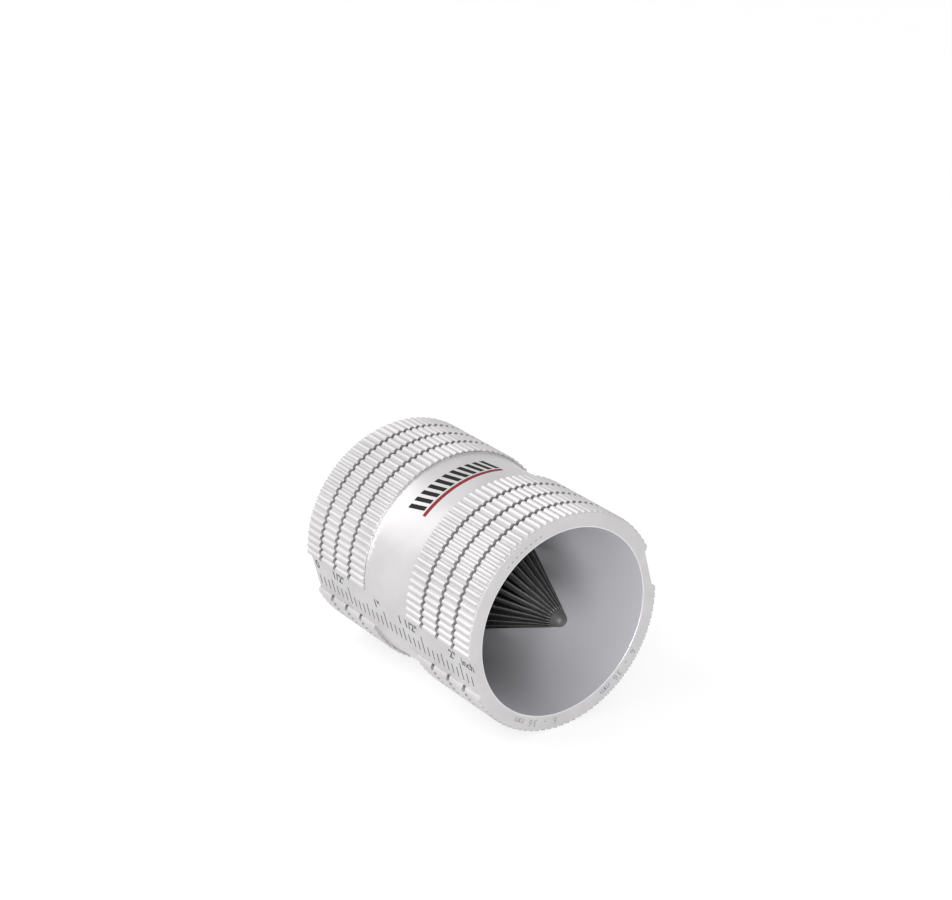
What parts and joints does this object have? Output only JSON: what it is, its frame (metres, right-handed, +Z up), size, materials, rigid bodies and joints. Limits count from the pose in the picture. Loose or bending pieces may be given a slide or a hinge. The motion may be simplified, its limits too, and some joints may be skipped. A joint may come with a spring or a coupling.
{
  "type": "deburring tool",
  "caption": "Hand-held inner and outer tube deburring tool: a knurled round sleeve with a cone of radial blades inside.",
  "frame": {"origin": "on the tool's axis, midway between its two ends", "axes": "+X along the tool's axis towards the mouth where the blade cone's nose is, +Z up with the tool lying on its side"},
  "size_m": [0.0556, 0.0452, 0.0452],
  "materials": {
    "satin_aluminium": "satin bead-blasted aluminium",
    "black_oxide_steel": "black oxide",
    "plated_steel": "zinc plated",
    "spring_steel": "phosphated spring steel",
    "dark_pin_steel": "hardened dark steel",
    "blade_steel": "black oxide with bright ground edges"
  },
  "bodies": {
    "root": {"housing": "satin_aluminium", "blade_carrier": "black_oxide_steel", "clamp_ring": "plated_steel", "snap_ring": "spring_steel", "centre_pin": "dark_pin_steel", "pin_collar": "plated_steel", "drive_dowels": "spring_steel", "blade_01": "blade_steel", "blade_02": "blade_steel", "blade_03": "blade_steel", "blade_04": "blade_steel", "blade_05": "blade_steel", "blade_06": "blade_steel", "blade_07": "blade_steel", "blade_08": "blade_steel", "blade_09": "blade_steel", "blade_10": "blade_steel", "blade_11": "blade_steel", "blade_12": "blade_steel", "blade_13": "blade_steel", "blade_14": "blade_steel", "blade_15": "blade_steel", "blade_16": "blade_steel", "blade_17": "blade_steel", "blade_18": "blade_steel", "blade_19": "blade_steel", "blade_20": "blade_steel", "blade_21": "blade_steel", "blade_22": "blade_steel"}
  },
  "joints": []
}
